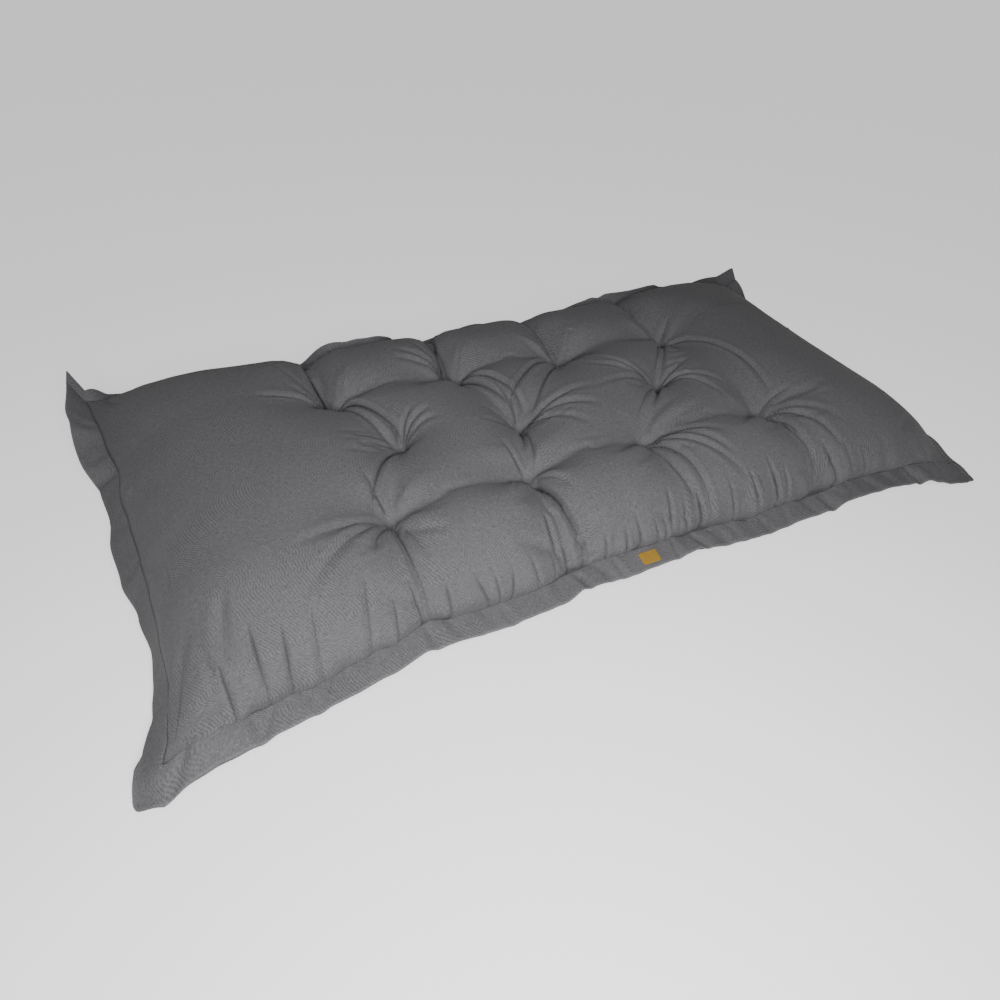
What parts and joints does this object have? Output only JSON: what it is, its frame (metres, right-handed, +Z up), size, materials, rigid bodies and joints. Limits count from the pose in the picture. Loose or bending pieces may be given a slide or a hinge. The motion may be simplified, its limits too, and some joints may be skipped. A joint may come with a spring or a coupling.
{
  "type": "floor futon cushion",
  "caption": "Tufted rectangular floor cushion with a flat stitched flange all round, soft pillows between the ties and curled corners, lying on its back.",
  "frame": {"origin": "on the floor under the middle of the whole box", "axes": "+X along the cushion's length, +Y across it towards the curled-up back corners, +Z up from the floor through the tufts"},
  "size_m": [1.2324, 0.644, 0.1605],
  "materials": {
    "cover_fabric": "matt woven polyester canvas in dark melange grey, with fine heather flecks and a faint diagonal rib",
    "label_fabric": "ribbed woven ribbon in mustard yellow, left bare",
    "tab_fabric": "smooth black satin ribbon, left bare"
  },
  "bodies": {
    "root": {"cushion": "cover_fabric", "label": "label_fabric", "side_tab": "tab_fabric"}
  },
  "joints": []
}
